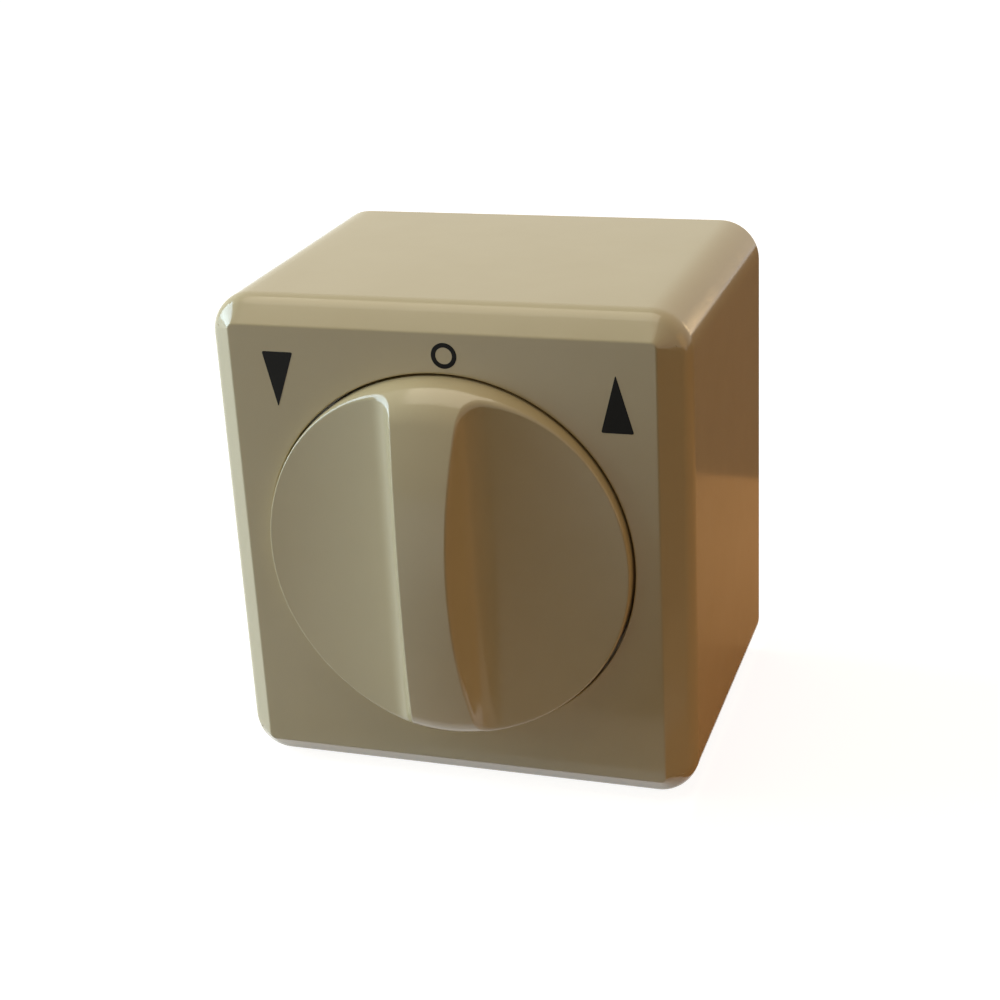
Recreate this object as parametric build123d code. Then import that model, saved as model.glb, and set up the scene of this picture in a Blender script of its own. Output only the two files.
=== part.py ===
from build123d import *
from math import cos, radians, sin, sqrt, tan
import os

os.makedirs("parts", exist_ok=True)

# Surface-mounted rotary switch for a blind motor, in millimetres.
# X runs to the right, Z up and Y into the wall. The origin is the middle of the rear face, on
# the wall. A depth is measured from the wall towards the front, so it runs along -Y.

# Hood: the moulded cube that shows
CUBE_W = 70.0
CUBE_H = 73.3
CUBE_D = 52.0
CORNER_R = 6.0        # rounding of the four edges that run back to the wall
BEVEL_SIDE = 4.0      # reach of the front bevel at the left and right
BEVEL_TOP = 3.5       # reach of the front bevel at the top and bottom
BEVEL_DEPTH = 3.3
FACE_CORNER_R = 0.8   # corners of the flat front
BEVEL_EDGE_R = 3.6    # softened edge between bevel and side walls
HOOD_WALL = 2.4
RIB_T = 1.4           # moulded ribs and gussets
CORNER_RIB_DEPTH = 5.0
KNOCKOUT_W = 16.0     # thin web in the bottom wall, broken out for a cable from below
KNOCKOUT_D = 9.0
KNOCKOUT_WEB = 0.8

# Dish in the hood's front, which the knob turns in
DISH_DEPTH = 4.0
DISH_FLOOR_T = 2.2
DISH_WALL = 2.0
HUB_HOLE_GAP = 0.8    # round the knob's hub

# Knob: a dome with a scoop on each side, which leaves a waisted grip
KNOB_R = 27.0
KNOB_GAP = 0.35       # to the dish, all round
KNOB_LIFT = 0.6       # rear edge clear of the dish's floor
CREST_H = 11.2        # top of the grip above the hood's front
CREST_R = 66.0        # long arc along the grip
END_R = 7.0           # arc that brings the grip's ends down to the rim
GRIP_W = 7.3          # width of the grip across its crest
FLANK_LEAN = 21.0     # lean of the grip's sides, in degrees
SCOOP_R = 5.0         # hollow where a side of the grip meets the scoop's floor
FLOOR_R = 80.0        # gentle hollow of the scoop's floor
RIM_H = 1.6           # scoop's floor above the hood's front, at the rim
KNOB_EDGE_R = 0.8
KNOB_WALL = 2.0
HUB_R = 5.4
HUB_REACH = 5.0       # hub behind the dish's floor
HUB_SLOT_W = 1.2
HUB_SLOT_DEPTH = 5.0
CLIP_W = 2.2
CLIP_T = 0.7
CLIP_INSET = 0.8      # from the hub's rear end

# Spindle
SPINDLE_R = 3.0
SPINDLE_FLAT = 2.3    # flat of the D section, from the axis
SPINDLE_CHAMFER = 0.4
JOURNAL_R = 2.0
JOURNAL_INSET = 0.2   # journal's end inside the block's rear face
SPINDLE_IN_HUB = 12.0 # length held by the knob, beyond the dish's floor
GROOVE_R = 2.5
RING_T = 0.75
RING_R = 4.6
RING_OPENING = 50.0   # mouth of the open ring, in degrees

# Base plate
PLATE_T = 3.0
PLATE_RIM_T = 1.6
PLATE_RIM_H = 3.0
POST_R = 3.75
POST_INSET = 7.0      # post axis from the plate's edges
GUSSET_REACH = 5.0
GUSSET_H = 12.0
PILOT_DEPTH = 12.0
WALL_SLOT_W = 4.4
WALL_SLOT_L = 9.0
WALL_SLOT_SPACING = 50.0
WALL_PAD_T = 1.0
WALL_PAD_MARGIN = 2.2
CABLE_W = 24.0
CABLE_H = 9.0
CABLE_R = 3.0
CABLE_INSET = 6.5     # middle of the cable opening from the plate's lower edge

# Contact block and its cover
BLOCK_GAP = 5.0       # block's rear face above the plate
BLOCK_W = 40.0
BLOCK_TOP = 19.0      # above the axis
BLOCK_D = 14.0
BLOCK_R = 2.0
BLOCK_FLOOR_T = 2.0
CAVITY_W = 31.0
CAVITY_TOP = 16.0
CAVITY_BOTTOM = 12.0  # below the axis
SHELF_T = 1.2         # step in the block's floor that the strips lie on
SHELF_H = 3.0
PARTITION_T = 1.2     # between the cavity and the terminals
BLOCK_BOTTOM_WALL = 1.5
COVER_T = 3.0
COLLAR_R = 6.5
COLLAR_H = 5.0        # collar in front of the cover
STOP_SPREAD = 7.0     # half the angle of each stop, in degrees
STOP_T = 3.0          # radial thickness of each stop
ACCESS_R = 3.2        # holes over the terminal screws
RIVET_R = 1.2
RIVET_HEAD_R = 2.1
RIVET_HEAD_T = 0.8
RIVET_X = 17.7
RIVET_TOP = 16.4
RIVET_BOTTOM = 18.2

# Rotor
TURN = 45.0           # from the ring to either triangle, in degrees
WHEEL_R = 9.5
WHEEL_T = 4.7
NOTCH_R = 1.7
NOTCH_AXIS_R = 10.2   # middle of each notch's arc from the axis
CAM_R = 8.0
LOBE_AXIS_R = 12.2
LOBE_R = 3.0
LUG_R = 11.4
LUG_SPREAD = 12.0     # half the angle of the stop lug, in degrees
STOP_SPARE = 1.5      # angle left at each stop, in degrees

# Index spring
INDEX_T = 0.4
INDEX_W = 3.6
NOSE_CLEAR = 0.2      # nose above the notch's bottom
NOSE_R = 1.3
NOSE_RISE = 3.2       # height and half width of the V
INDEX_END_RISE = 1.0
INDEX_IN_WALL = 1.1

# Strips, blades, tips and terminals
STRIP_T = 0.8
STRIP_W = 4.0
BLADE_T = 0.4
BLADE_W = 4.0
BLADE_X = 10.4        # middle of each blade from the axis, at rest
BLADE_ROOT_X = 8.2
BLADE_BEND_R = 1.5
BLADE_KINK_LOW = 9.0  # below the axis
BLADE_KINK_HIGH = 4.0
BLADE_TOP = 14.6
TIP_R = 1.5
TIP_T = 1.0
TIP_Z = 12.5
TERMINAL_PITCH = 12.0
CAGE_W = 6.6
CAGE_H = 6.6
CAGE_WALL = 1.0
CAGE_WINDOW = 4.4
CAGE_FRONT_T = 2.1
WIRE_R = 2.0

# Support frame
FRAME_T = 1.2
FRAME_MARGIN = 4.0    # round the screws in the posts
FRAME_R = 3.0
FRAME_NOTCH_H = 13.0  # side notches that free the wall screws
SCREW_COLLAR_T = 0.8
SCREW_COLLAR_H = 2.3
HOOD_SCREW_X = 18.5
HOOD_SCREW_Z = 11.0
BOSS_WALL = 1.4
BOSS_FLOOR_T = 4.0

# Screws
M3_R = 1.5
TAPPING_R = 1.25
HEAD_R = 2.8
HEAD_T = 2.0
HEAD_EDGE_R = 0.6
RECESS_W = 0.8
RECESS_DEPTH = 1.1
FRAME_SCREW_L = 9.0
TERMINAL_SCREW_IN = 2.0   # tip inside the cage's window

# Clearances
FIT = 0.3             # between moulded pieces that slip together
HOLE_GAP = 0.15       # round a screw or rivet that passes through
SEAT_GAP = 0.1        # between faces that rest close together
BEARING_GAP = 0.05    # round the spindle where it turns
GRIP_GAP = 0.03       # round the spindle where it is gripped
END_PLAY = 0.3        # along the spindle

# Places worked out from the sizes above
DISH_R = KNOB_R + KNOB_GAP
DISH_FLOOR = CUBE_D - DISH_DEPTH
DISH_REAR = DISH_FLOOR - DISH_FLOOR_T
KNOB_REAR = DISH_FLOOR + KNOB_LIFT
HUB_REAR = DISH_FLOOR - HUB_REACH
PLATE_W = CUBE_W - 2 * (HOOD_WALL + FIT)
PLATE_H = CUBE_H - 2 * (HOOD_WALL + FIT)
PLATE_R = CORNER_R - HOOD_WALL - FIT
POST_X = PLATE_W / 2 - POST_INSET
POST_Z = PLATE_H / 2 - POST_INSET
CABLE_Z = CABLE_INSET - PLATE_H / 2
BLOCK_REAR = PLATE_T + BLOCK_GAP
BLOCK_FLOOR = BLOCK_REAR + BLOCK_FLOOR_T
BLOCK_FRONT = BLOCK_REAR + BLOCK_D
STRIP_REAR = BLOCK_FLOOR + SHELF_T
STRIP_FRONT = STRIP_REAR + STRIP_T
CHAMBER_TOP = -CAVITY_BOTTOM - PARTITION_T
CAGE_TOP = CHAMBER_TOP - SEAT_GAP
CAGE_BOTTOM = CAGE_TOP - CAGE_H
CHAMBER_BOTTOM = CAGE_BOTTOM - SEAT_GAP
BLOCK_BOTTOM = CHAMBER_BOTTOM - BLOCK_BOTTOM_WALL
CAGE_MIDDLE = (CAGE_TOP + CAGE_BOTTOM) / 2
FRAME_REAR = BLOCK_FRONT + COVER_T
FRAME_FRONT = FRAME_REAR + FRAME_T
COLLAR_FRONT = FRAME_REAR + COLLAR_H
WHEEL_FRONT = BLOCK_FRONT - END_PLAY
WHEEL_REAR = WHEEL_FRONT - WHEEL_T
ROTOR_REAR = BLOCK_FLOOR + END_PLAY
CAGE_REAR = STRIP_REAR - SEAT_GAP - CAGE_WALL
CAGE_WINDOW_FRONT = CAGE_REAR + CAGE_WALL + CAGE_WINDOW
CAGE_FRONT = CAGE_WINDOW_FRONT + CAGE_FRONT_T
SCREW_COLLAR_FRONT = FRAME_FRONT + SCREW_COLLAR_H
BOSS_REAR = SCREW_COLLAR_FRONT + SEAT_GAP
BOSS_SEAT = BOSS_REAR + BOSS_FLOOR_T
WELL_R = HEAD_R + FIT
CONTACT_X = CAVITY_W / 2 - SEAT_GAP
TERMINALS_X = (-TERMINAL_PITCH, 0.0, TERMINAL_PITCH)
POSTS = [(x, z) for x in (-POST_X, POST_X) for z in (-POST_Z, POST_Z)]
RIVETS = [(x, z) for x in (-RIVET_X, RIVET_X) for z in (-RIVET_BOTTOM, RIVET_TOP)]
HOOD_SCREWS = [(-HOOD_SCREW_X, -HOOD_SCREW_Z), (HOOD_SCREW_X, HOOD_SCREW_Z)]
PAST = 1.0            # how far a cutter runs past the face that it opens
TOUCH = 0.001         # two depths closer than this are the same


def slab(sketch, rear, front):
    """The sketch, drawn as seen from the front, made solid between two depths."""
    return extrude(Plane.XZ.offset(rear) * sketch, front - rear)


def rod(radius, rear, front, at=(0, 0)):
    """Round bar along the depth, at a place seen from the front."""
    return slab(Pos(*at) * Circle(radius), rear, front)


def brick(x, depth, z):
    """Rectangular solid between pairs of limits."""
    size = (x[1] - x[0], depth[1] - depth[0], z[1] - z[0])
    return Pos(sum(x) / 2, -sum(depth) / 2, sum(z) / 2) * Box(*size)


def wedge(reach, middle, spread):
    """Flat wedge with its point on the axis, spread either side of its middle angle, in degrees."""
    sides = [radians(middle + side * spread) for side in (-1, 1)]
    corners = [(reach * cos(a), reach * sin(a)) for a in sides]
    return Polygon((0, 0), *corners, align=None)


def sector(inner_r, outer_r, middle, spread):
    """Piece of a flat ring, spread either side of its middle angle, in degrees."""
    return (Circle(outer_r) - Circle(inner_r)) & wedge(2 * outer_r, middle, spread)


def d_section(radius, flat):
    """Round section with one flat, above the axis."""
    return Circle(radius) & Pos(0, flat - radius) * Rectangle(3 * radius, 2 * radius)


def ribbon(points, bend_r, thickness, rear, front):
    """Thin strip on edge, bent along points seen from the front."""
    path = FilletPolyline(*points, radius=bend_r)
    return slab(trace(path, line_width=thickness), rear, front)


def screw(at, seat, tip, shank_r):
    """Pan-head screw whose head rests on the seat, with a cross recess to the front."""
    head = rod(HEAD_R, seat, seat + HEAD_T, at)
    head = fillet(head.edges().sort_by(Axis.Y)[0], HEAD_EDGE_R)
    recess = Rectangle(2 * HEAD_R - 2 * HEAD_EDGE_R - RECESS_W, RECESS_W)
    recess += Rot(0, 0, 90) * recess
    recess = slab(Pos(*at) * recess, seat + HEAD_T - RECESS_DEPTH, seat + HEAD_T + PAST)
    return head + rod(shank_r, tip, seat, at) - recess


def cube_form(inset, rear):
    """The hood's bevelled block, made smaller all round by the inset."""
    width, height, front = CUBE_W - 2 * inset, CUBE_H - 2 * inset, CUBE_D - inset
    shoulder = front - BEVEL_DEPTH
    outline = RectangleRounded(width, height, CORNER_R - inset)
    face = RectangleRounded(width - 2 * BEVEL_SIDE, height - 2 * BEVEL_TOP, FACE_CORNER_R)
    bevel = loft([Plane.XZ.offset(shoulder) * outline, Plane.XZ.offset(front) * face], ruled=True)
    return slab(outline, rear, shoulder) + bevel


def hood_shell():
    """Outer skin of the hood, open towards the wall."""
    block = cube_form(0, 0)
    shoulder = -(CUBE_D - BEVEL_DEPTH)
    edges = block.edges().filter_by_position(Axis.Y, shoulder - TOUCH, shoulder + TOUCH)
    block = fillet(edges, BEVEL_EDGE_R)
    return block - cube_form(HOOD_WALL, -PAST)


def corner_ribs():
    """Four upright ribs from the dish to the hood's corners, behind the front wall."""
    front = CUBE_D - HOOD_WALL
    bars = Rectangle(CUBE_W + CUBE_H, RIB_T)
    bars = Rot(0, 0, 45) * bars + Rot(0, 0, -45) * bars - Circle(DISH_R)
    return slab(bars, front - CORNER_RIB_DEPTH, front) & cube_form(HOOD_WALL / 2, 0)


def make_hood():
    """Moulded hood: bevelled cube, dish for the knob, screw wells and ribs."""
    front_rear = CUBE_D - HOOD_WALL
    hood = hood_shell() + corner_ribs()
    hood += rod(DISH_R + DISH_WALL, DISH_REAR, front_rear + PAST)
    for at in HOOD_SCREWS:
        hood += rod(WELL_R + BOSS_WALL, BOSS_REAR, DISH_REAR + PAST, at)
    hood -= rod(DISH_R, DISH_FLOOR, CUBE_D + PAST)
    hood -= rod(HUB_R + HUB_HOLE_GAP, DISH_REAR - PAST, DISH_FLOOR + PAST)
    for at in HOOD_SCREWS:
        hood -= rod(WELL_R, BOSS_SEAT, DISH_FLOOR + PAST, at)
        hood -= rod(M3_R + HOLE_GAP, BOSS_REAR - PAST, BOSS_SEAT + PAST, at)
    web_top = KNOCKOUT_WEB - CUBE_H / 2
    wall_top = HOOD_WALL - CUBE_H / 2
    half = KNOCKOUT_W / 2
    hood -= brick((-half, half), (-PAST, KNOCKOUT_D), (web_top, wall_top + PAST))
    return hood


def dome(inset):
    """Round blank of the knob: a long arc over the crest and a tighter one at the rim.

    It is turned so that the seam of its surface runs along the grip, clear of the scoops.
    """
    radius, crest_r, end_r = KNOB_R - inset, CREST_R - inset, END_R - inset
    crest_axis = CUBE_D + CREST_H - CREST_R
    end_x = radius - end_r
    end_axis = crest_axis + sqrt((crest_r - end_r) ** 2 - end_x ** 2)
    lean = end_x / (crest_r - end_r)
    rise = sqrt(1 - lean ** 2)
    meet = (crest_r * lean, -(crest_axis + crest_r * rise))
    bend = (sqrt((1 + lean) / 2), sqrt((1 - lean) / 2))
    tilt = (sqrt((1 - rise) / 2), sqrt((1 + rise) / 2))
    outline = [
        Line((0, -KNOB_REAR), (radius, -KNOB_REAR)),
        Line((radius, -KNOB_REAR), (radius, -end_axis)),
        ThreePointArc((radius, -end_axis),
                      (end_x + end_r * bend[0], -(end_axis + end_r * bend[1])), meet),
        ThreePointArc(meet, (crest_r * tilt[0], -(crest_axis + crest_r * tilt[1])),
                      (0, -(crest_axis + crest_r))),
        Line((0, -(crest_axis + crest_r)), (0, -KNOB_REAR)),
    ]
    return Rot(0, 90, 0) * revolve(make_face(outline), Axis.Y)


def flank_x(height):
    """Half width of the grip at a height above the hood's front."""
    return GRIP_W / 2 + (CREST_H - height) * tan(radians(FLANK_LEAN))


def scoop():
    """Cutter for the right-hand scoop: leaning side, hollow corner and gently hollow floor."""
    top, side = CREST_H + PAST, KNOB_R + PAST
    corners = [(flank_x(0), 0), (flank_x(top), top), (side, top), (side, 0)]
    beside = Polygon(*[(x, -(CUBE_D + h)) for x, h in corners], align=None)
    above = Pos(KNOB_R, -(CUBE_D + RIM_H + FLOOR_R)) * Circle(FLOOR_R)
    profile = beside & above
    profile = fillet(profile.vertices().sort_by(Axis.X)[1], SCOOP_R)
    return extrude(profile, KNOB_R + PAST, both=True)


def border(faces):
    """Edges round the outside of a group of faces."""
    edges = [edge for face in faces for edge in face.edges()]
    return [edge for edge in edges if sum(edge.is_same(other) for other in edges) == 1]


def scooped_blank():
    """Dome with both scoops cut and their edges softened."""
    blank = dome(0) - scoop() - mirror(scoop(), Plane.YZ)
    cut = [face for face in blank.faces()
           if abs(face.center().X) > GRIP_W / 2 and face.center().Y < -CUBE_D
           and face.geom_type in (GeomType.PLANE, GeomType.CYLINDER)]
    return fillet(border(cut), KNOB_EDGE_R)


def grip_pocket():
    """Hollow inside the grip, one wall thickness under its skin."""
    wall = KNOB_WALL / cos(radians(FLANK_LEAN))
    low, high = RIM_H - KNOB_WALL, CREST_H
    corners = [(flank_x(low) - wall, low), (flank_x(high) - wall, high)]
    corners += [(-x, h) for x, h in reversed(corners)]
    profile = Polygon(*[(x, -(CUBE_D + h)) for x, h in corners], align=None)
    return extrude(profile, KNOB_R, both=True) & dome(KNOB_WALL)


def make_knob():
    """Turn knob, hollow behind, with a slotted hub for the spindle."""
    knob = scooped_blank()
    ceiling = CUBE_D + RIM_H - KNOB_WALL
    core = rod(HUB_R, KNOB_REAR, DISH_FLOOR + SPINDLE_IN_HUB + KNOB_WALL)
    hub = rod(HUB_R, HUB_REAR, KNOB_REAR) + (core & knob)
    knob -= rod(KNOB_R - KNOB_WALL, KNOB_REAR - PAST, ceiling)
    knob -= grip_pocket() - core
    ribs = Rectangle(2 * KNOB_R - KNOB_WALL, RIB_T)
    ribs = Rot(0, 0, 45) * ribs + Rot(0, 0, -45) * ribs
    knob += slab(ribs, KNOB_REAR + KNOB_LIFT, ceiling + PAST)
    knob += hub
    bore = d_section(SPINDLE_R + GRIP_GAP, SPINDLE_FLAT + GRIP_GAP)
    knob -= slab(bore, HUB_REAR - PAST, DISH_FLOOR + SPINDLE_IN_HUB + END_PLAY)
    slots = Rectangle(2 * HUB_R + PAST, HUB_SLOT_W)
    slots += Rot(0, 0, 90) * slots
    knob -= slab(slots, HUB_REAR - PAST, HUB_REAR + HUB_SLOT_DEPTH)
    groove = Circle(HUB_R + PAST) - Circle(HUB_R - CLIP_T - GRIP_GAP)
    groove_rear = HUB_REAR + CLIP_INSET - SEAT_GAP
    return knob - slab(groove, groove_rear, groove_rear + CLIP_W + 2 * SEAT_GAP)


def make_knob_clip():
    """Open spring band in the hub's groove, which presses the hub on to the spindle."""
    band = Circle(HUB_R) - Circle(HUB_R - CLIP_T)
    band -= wedge(2 * HUB_R, 90, RING_OPENING / 2)
    rear = HUB_REAR + CLIP_INSET
    return slab(band, rear, rear + CLIP_W)


def make_spindle():
    """Turned shaft: rear journal, D section in the rotor, ring groove, D section in the knob."""
    front = DISH_FLOOR + SPINDLE_IN_HUB
    shaft = rod(JOURNAL_R, BLOCK_REAR + JOURNAL_INSET, ROTOR_REAR)
    shaft += slab(d_section(SPINDLE_R, SPINDLE_FLAT), ROTOR_REAR, front)
    shaft += rod(SPINDLE_R, BLOCK_FRONT, HUB_REAR - PAST)
    groove_rear = COLLAR_FRONT + SEAT_GAP
    groove = Circle(SPINDLE_R + PAST) - Circle(GROOVE_R)
    shaft -= slab(groove, groove_rear, groove_rear + RING_T + SEAT_GAP)
    return chamfer(shaft.faces().sort_by(Axis.Y)[0].edges(), SPINDLE_CHAMFER)


def make_retaining_ring():
    """Open spring ring in the spindle's groove, in front of the collar."""
    ring = Circle(RING_R) - Circle(GROOVE_R + GRIP_GAP)
    ring -= wedge(2 * RING_R, -90, RING_OPENING / 2)
    rear = COLLAR_FRONT + SEAT_GAP + SEAT_GAP / 2
    return slab(ring, rear, rear + RING_T)


def make_rotor():
    """Moulded rotor: notched wheel with a stop lug in front, cam with one lobe behind."""
    wheel = Circle(WHEEL_R)
    for turn in (-TURN, 0, TURN):
        wheel -= Rot(0, 0, turn) * Pos(0, NOTCH_AXIS_R) * Circle(NOTCH_R)
    wheel += sector(WHEEL_R - PAST, LUG_R, -90, LUG_SPREAD)
    cam = Circle(CAM_R) + Pos(0, LOBE_AXIS_R) * Circle(LOBE_R)
    cam += Pos(0, LOBE_AXIS_R / 2) * Rectangle(2 * LOBE_R, LOBE_AXIS_R)
    rotor = slab(wheel, WHEEL_REAR, WHEEL_FRONT) + slab(cam, ROTOR_REAR, WHEEL_REAR)
    bore = d_section(SPINDLE_R + GRIP_GAP, SPINDLE_FLAT + GRIP_GAP)
    return rotor - slab(bore, ROTOR_REAR - PAST, WHEEL_FRONT + PAST)


def index_middle():
    """Depth limits of the index spring, centred on the wheel."""
    middle = (WHEEL_REAR + WHEEL_FRONT) / 2
    return middle - INDEX_W / 2, middle + INDEX_W / 2


def index_heights():
    """Heights of the index spring's nose, shoulders and ends, before its bends are rounded."""
    nose = NOTCH_AXIS_R - NOTCH_R + NOSE_CLEAR + INDEX_T / 2 - NOSE_R * (sqrt(2) - 1)
    return nose, nose + NOSE_RISE, nose + NOSE_RISE + INDEX_END_RISE


def make_index_spring():
    """Leaf spring across the cavity, its nose in the wheel's middle notch."""
    nose, shoulder, end = index_heights()
    reach = CAVITY_W / 2 + INDEX_IN_WALL
    points = [(-reach, end), (-NOSE_RISE, shoulder), (0, nose), (NOSE_RISE, shoulder), (reach, end)]
    return ribbon(points, NOSE_R, INDEX_T, *index_middle())


def plate_gussets():
    """Two sloping gussets on each post, towards the middle of the plate."""
    top = PLATE_T + GUSSET_H
    reach = POST_R + GUSSET_REACH
    side_view = Polygon((0, -PLATE_T), (reach, -PLATE_T), (0, -top), align=None)
    along_x = extrude(side_view, RIB_T / 2, both=True)
    along_z = Rot(0, -90, 0) * along_x
    gussets = None
    for x, z in POSTS:
        lengthways = along_x if x < 0 else mirror(along_x, Plane.YZ)
        upright = along_z if z < 0 else mirror(along_z, Plane.XY)
        pair = Pos(x, 0, z) * (lengthways + upright)
        gussets = pair if gussets is None else gussets + pair
    return gussets


def make_base_plate():
    """Moulded wall plate: rim, four posts, slots for the wall screws and the cable opening."""
    outline = RectangleRounded(PLATE_W, PLATE_H, PLATE_R)
    inner = RectangleRounded(PLATE_W - 2 * PLATE_RIM_T, PLATE_H - 2 * PLATE_RIM_T,
                             PLATE_R - PLATE_RIM_T)
    plate = slab(outline, 0, PLATE_T) + slab(outline - inner, PLATE_T, PLATE_T + PLATE_RIM_H)
    for at in POSTS:
        plate += rod(POST_R, PLATE_T, FRAME_REAR, at)
    plate += plate_gussets()
    for side in (-1, 1):
        place = Pos(side * WALL_SLOT_SPACING / 2, 0)
        margin = 2 * WALL_PAD_MARGIN
        pad = place * SlotOverall(WALL_SLOT_L + margin, WALL_SLOT_W + margin)
        plate += slab(pad & outline, PLATE_T, PLATE_T + WALL_PAD_T)
        plate -= slab(place * SlotOverall(WALL_SLOT_L, WALL_SLOT_W),
                      -PAST, PLATE_T + WALL_PAD_T + PAST)
    cable = Pos(0, CABLE_Z) * RectangleRounded(CABLE_W, CABLE_H, CABLE_R)
    plate -= slab(cable, -PAST, PLATE_T + PAST)
    half = KNOCKOUT_W / 2
    rim_low = -PLATE_H / 2
    plate -= brick((-half, half), (PLATE_T, PLATE_T + PLATE_RIM_H + PAST),
                   (rim_low - PAST, rim_low + PLATE_RIM_T))
    for at in POSTS:
        plate -= rod(TAPPING_R + GRIP_GAP, FRAME_REAR - PILOT_DEPTH, FRAME_REAR + PAST, at)
    return plate


def make_support_frame():
    """Pressed steel plate between posts and block, with two plunged holes for the hood screws."""
    width, height = 2 * (POST_X + FRAME_MARGIN), 2 * (POST_Z + FRAME_MARGIN)
    sheet = RectangleRounded(width, height, FRAME_R)
    notch_w = (width - BLOCK_W) / 2
    for side in (-1, 1):
        sheet -= Pos(side * (BLOCK_W + notch_w) / 2, 0) * Rectangle(notch_w, FRAME_NOTCH_H)
    sheet -= Circle(COLLAR_R + FIT)
    for at in POSTS:
        sheet -= Pos(*at) * Circle(TAPPING_R + HOLE_GAP)
    for at in RIVETS:
        sheet -= Pos(*at) * Circle(RIVET_R + SEAT_GAP)
    for x in TERMINALS_X:
        sheet -= Pos(x, CAGE_MIDDLE) * Circle(ACCESS_R)
    frame = slab(sheet, FRAME_REAR, FRAME_FRONT)
    for at in HOOD_SCREWS:
        frame += rod(M3_R + SCREW_COLLAR_T, FRAME_FRONT, SCREW_COLLAR_FRONT, at)
        frame -= rod(M3_R + GRIP_GAP, FRAME_REAR - PAST, SCREW_COLLAR_FRONT + PAST, at)
    return frame


def block_outline():
    """Outline shared by the contact block and its cover."""
    height = BLOCK_TOP - BLOCK_BOTTOM
    return Pos(0, (BLOCK_TOP + BLOCK_BOTTOM) / 2) * RectangleRounded(BLOCK_W, height, BLOCK_R)


def strip_ways():
    """Openings in the partition where the strips pass from the cavity to the terminals."""
    gap = SEAT_GAP
    ways = None
    for x in TERMINALS_X:
        reach = (x - STRIP_W / 2 - gap, x + STRIP_W / 2 + gap)
        way = brick(reach, (STRIP_REAR, BLOCK_FRONT), (CHAMBER_TOP - PAST, PAST - CAVITY_BOTTOM))
        ways = way if ways is None else ways + way
    return ways


def make_contact_block():
    """Moulded block: cavity for the rotor and blades, three terminal chambers below it."""
    block = slab(block_outline(), BLOCK_REAR, BLOCK_FRONT)
    half = CAVITY_W / 2
    mouth = BLOCK_FRONT + PAST
    block -= brick((-half, half), (BLOCK_FLOOR, mouth), (-CAVITY_BOTTOM, CAVITY_TOP))
    block += brick((-half, half), (BLOCK_FLOOR, STRIP_REAR),
                   (-CAVITY_BOTTOM, SHELF_H - CAVITY_BOTTOM))
    for x in TERMINALS_X:
        reach = (x - CAGE_W / 2 - SEAT_GAP, x + CAGE_W / 2 + SEAT_GAP)
        block -= brick(reach, (CAGE_REAR - SEAT_GAP, mouth), (CHAMBER_BOTTOM, CHAMBER_TOP))
        wire_middle = (CAGE_REAR + CAGE_WALL + CAGE_WINDOW_FRONT) / 2
        wire = Pos(x, -wire_middle, BLOCK_BOTTOM) * Cylinder(WIRE_R, 2 * BLOCK_BOTTOM_WALL)
        block -= wire
    block -= strip_ways()
    end = index_heights()[-1]
    reach = half + INDEX_IN_WALL + SEAT_GAP
    slot_rear, slot_front = index_middle()
    slope = INDEX_END_RISE * INDEX_IN_WALL / (half + INDEX_IN_WALL - NOSE_RISE)
    block -= brick((-reach, reach), (slot_rear - SEAT_GAP, mouth),
                   (end - slope - INDEX_T / 2 - SEAT_GAP, end + INDEX_T / 2 + SEAT_GAP))
    for at in RIVETS:
        block -= rod(RIVET_R + SEAT_GAP, BLOCK_REAR - PAST, mouth, at)
    return block - rod(JOURNAL_R + BEARING_GAP, BLOCK_REAR - PAST, BLOCK_FLOOR + PAST)


def make_block_cover():
    """Moulded cover with the bearing collar in front and two rotor stops behind."""
    cover = slab(block_outline(), BLOCK_FRONT, FRAME_REAR)
    cover += rod(COLLAR_R, FRAME_REAR, COLLAR_FRONT)
    swing = TURN + LUG_SPREAD + STOP_SPARE + STOP_SPREAD
    inner_r = WHEEL_R + FIT
    for side in (-1, 1):
        stop = sector(inner_r, inner_r + STOP_T, side * swing - 90, STOP_SPREAD)
        cover += slab(stop, WHEEL_REAR + END_PLAY, BLOCK_FRONT)
    cover -= rod(SPINDLE_R + BEARING_GAP, BLOCK_FRONT - PAST, COLLAR_FRONT + PAST)
    for x in TERMINALS_X:
        cover -= rod(ACCESS_R, BLOCK_FRONT - PAST, FRAME_REAR + PAST, (x, CAGE_MIDDLE))
    for at in RIVETS:
        cover -= rod(RIVET_R + SEAT_GAP, BLOCK_FRONT - PAST, FRAME_REAR + PAST, at)
    return cover


def rivet(at):
    """Rivet through block, cover and frame, headed at both ends."""
    body = rod(RIVET_R, BLOCK_REAR, FRAME_FRONT, at)
    body += rod(RIVET_HEAD_R, BLOCK_REAR - RIVET_HEAD_T, BLOCK_REAR, at)
    return body + rod(RIVET_HEAD_R, FRAME_FRONT, FRAME_FRONT + RIVET_HEAD_T, at)


def make_common_strip():
    """Brass strip: stem from the middle terminal, crossbar, and a folded tab for each blade."""
    half = STRIP_W / 2
    inner = BLADE_ROOT_X - BLADE_T / 2
    low, high = SEAT_GAP - CAVITY_BOTTOM, SHELF_H - CAVITY_BOTTOM - SEAT_GAP
    stem = brick((-half, half), (STRIP_REAR, STRIP_FRONT), (CAGE_BOTTOM, high))
    bar = brick((-inner, inner), (STRIP_REAR, STRIP_FRONT), (low, high))
    strip = stem + bar
    for side in (-1, 1):
        edges = sorted((side * (inner - STRIP_T), side * inner))
        strip += brick(edges, (STRIP_REAR, STRIP_FRONT + BLADE_W), (low, high))
    return strip


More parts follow.
